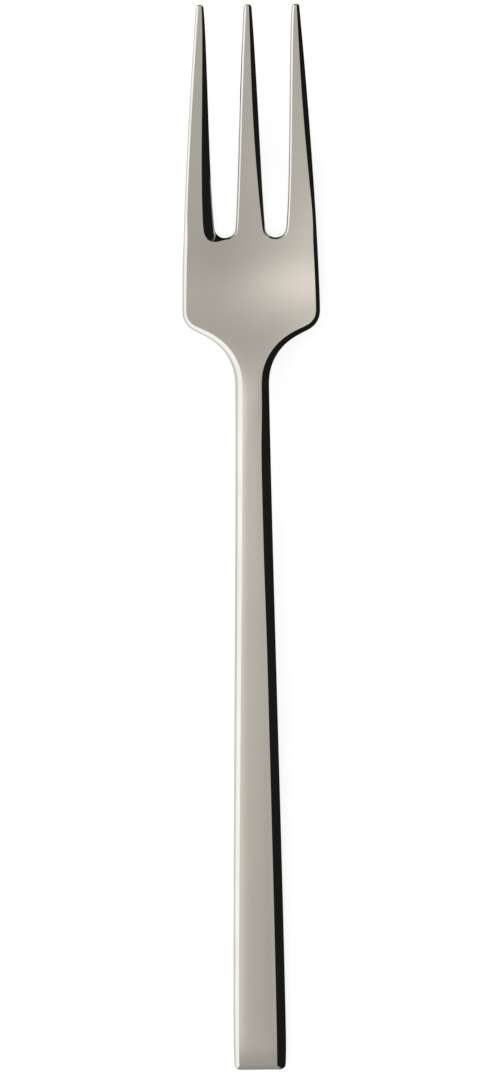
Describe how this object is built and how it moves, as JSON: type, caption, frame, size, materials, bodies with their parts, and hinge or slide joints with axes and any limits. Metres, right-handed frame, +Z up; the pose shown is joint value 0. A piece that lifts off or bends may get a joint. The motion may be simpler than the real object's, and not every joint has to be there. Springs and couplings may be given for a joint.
{
  "type": "pastry_fork",
  "caption": "Slim stainless steel pastry fork with a squared angular handle, dished head, three straight tapering tines and a bevelled left tine",
  "frame": {"origin": "On the table under the middle of the fork's box: half its length from the handle's end, half its width from either side", "axes": "The fork lies front face up. +Y runs along it from the handle's end to the tines, +X is towards the right tine seen from above, +Z is up"},
  "size_m": [0.0204, 0.157, 0.0125],
  "materials": {
    "steel": "satin front and back, polished side walls"
  },
  "bodies": {
    "root": {"handle": "steel", "neck": "steel", "head": "steel", "tine_left": "steel", "tine_middle": "steel", "tine_right": "steel"}
  },
  "joints": []
}
